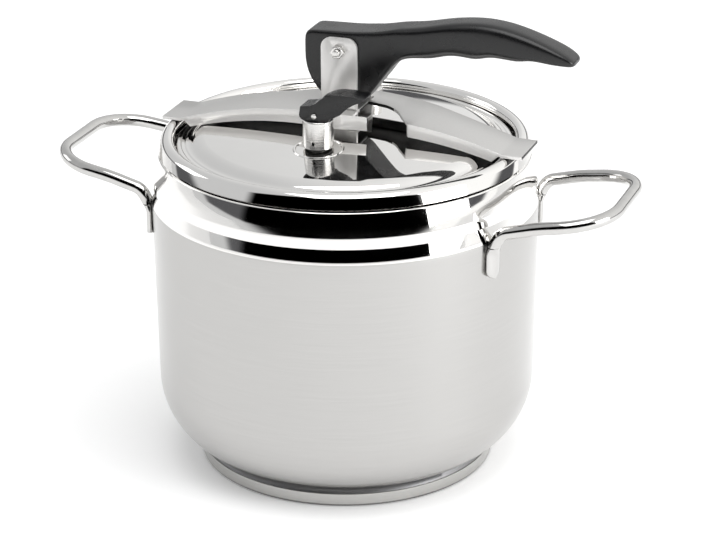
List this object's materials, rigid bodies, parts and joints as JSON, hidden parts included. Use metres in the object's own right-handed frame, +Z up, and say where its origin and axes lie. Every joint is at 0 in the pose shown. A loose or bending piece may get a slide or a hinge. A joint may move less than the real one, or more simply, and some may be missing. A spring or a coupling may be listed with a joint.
{
  "type": "pressure cooker",
  "caption": "Tall steel pot with loop handles and an inner domed lid, held by an arched bridge and a black cam lever, with exhaust and relief valves.",
  "frame": {"origin": "centre of the flat underside of the base, on the pot's axis", "axes": "+Z up along the pot's axis, +X along the bridge towards the tip of the closing lever, -Y towards the exhaust valve"},
  "size_m": [0.3404, 0.223, 0.2699],
  "materials": {
    "satin_wall": "satin",
    "polished_steel": "polished",
    "base_steel": "satin",
    "core_aluminium": "matte",
    "bakelite": "fine texture",
    "gasket_rubber": "matte",
    "turned_metal": "turned",
    "bush_brass": "turned"
  },
  "bodies": {
    "pot": {"pot_body": "satin_wall", "pot_floor": "satin_wall", "base_core": "core_aluminium", "base_cap": "base_steel", "handle_right": "polished_steel", "handle_left": "polished_steel"},
    "closure_bridge": {"bridge": "satin_wall"},
    "lid_unit": {"lid": "polished_steel", "lid_gasket": "gasket_rubber", "bracket": "satin_wall", "bracket_rivets": "turned_metal", "pivot_bolt": "turned_metal", "pivot_nut": "turned_metal", "valve_body": "turned_metal", "valve_washer": "gasket_rubber", "valve_nut": "turned_metal", "valve_spring": "turned_metal", "safety_body": "turned_metal", "safety_washer": "gasket_rubber", "safety_nut": "turned_metal", "safety_spring": "turned_metal", "safety_screw": "bush_brass"},
    "closing_lever": {"lever": "bakelite", "lever_bush": "bush_brass"},
    "needle": {"valve_needle": "turned_metal", "valve_pin": "turned_metal"},
    "exhaust_lever": {"valve_lever": "bakelite"},
    "relief_ball": {"safety_ball": "polished_steel"}
  },
  "joints": [
    {"name": "closure_turn", "type": "hinge", "parent": "pot", "child": "closure_bridge", "pos_m": [0, 0, 0.196], "axis": [0, 0, 1], "continuous": true},
    {"name": "lid_drop", "type": "slide", "parent": "closure_bridge", "child": "lid_unit", "axis": [0, 0, -1], "range_m": [0, 0.0105]},
    {"name": "lever_lift", "type": "hinge", "parent": "lid_unit", "child": "closing_lever", "pos_m": [0.0015, 0, 0.2475], "axis": [0, -1, 0], "range_deg": [0, 90]},
    {"name": "needle_lift", "type": "slide", "parent": "lid_unit", "child": "needle", "axis": [0, 0, 1], "range_m": [0, 0.0036], "deforming": ["valve_spring"]},
    {"name": "exhaust_flip", "type": "hinge", "parent": "needle", "child": "exhaust_lever", "pos_m": [0.0005, -0.0435, 0.2208], "axis": [0, -1, 0], "range_deg": [0, 40.5]},
    {"name": "relief_lift", "type": "slide", "parent": "lid_unit", "child": "relief_ball", "axis": [0, 0, 1], "range_m": [0, 0.001], "stiffness_N_per_m": 300, "springref_m": -0.002, "deforming": ["safety_spring"]}
  ],
  "couplings": [
    {"joint": "lid_drop", "follows": "lever_lift", "m_per_rad": 0.00668},
    {"joint": "exhaust_flip", "follows": "needle_lift", "rad_per_m": 193.9}
  ]
}
